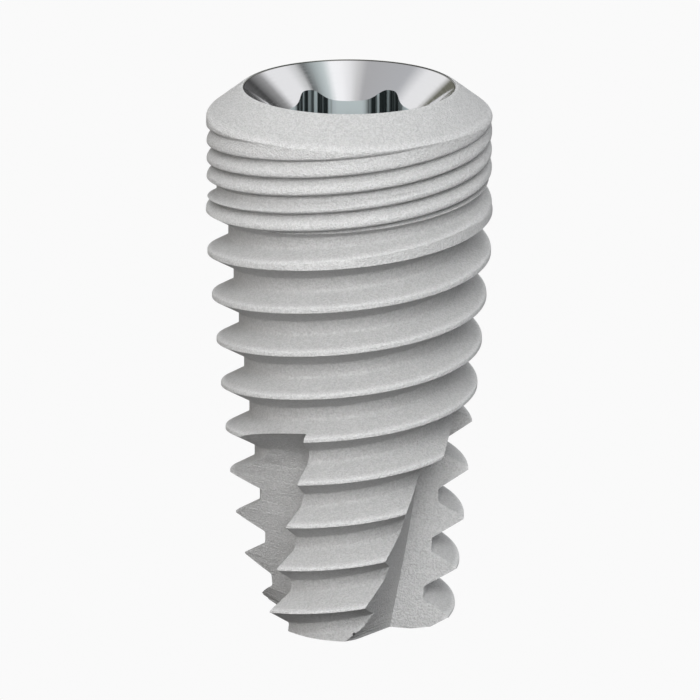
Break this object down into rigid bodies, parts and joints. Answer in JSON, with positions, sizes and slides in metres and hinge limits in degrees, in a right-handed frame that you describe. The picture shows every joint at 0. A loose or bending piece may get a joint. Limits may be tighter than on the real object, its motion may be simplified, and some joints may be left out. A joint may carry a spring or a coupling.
{
  "type": "dental implant fixture",
  "caption": "Tapered screw-type dental implant fixture with helical cutting flutes, a finely grooved collar, a polished seating cone and a lobed driver socket.",
  "frame": {"origin": "centre of the flat apex face, on the implant's axis", "axes": "+Z along the axis from the apex up to the rim of the connection; +X through one lobe of the socket"},
  "size_m": [0.005, 0.005, 0.0097],
  "materials": {
    "titanium": "matt, blasted and acid-etched titanium outside, polished on the seating cone and in the socket"
  },
  "bodies": {
    "root": {"implant_fixture": "titanium"}
  },
  "joints": []
}
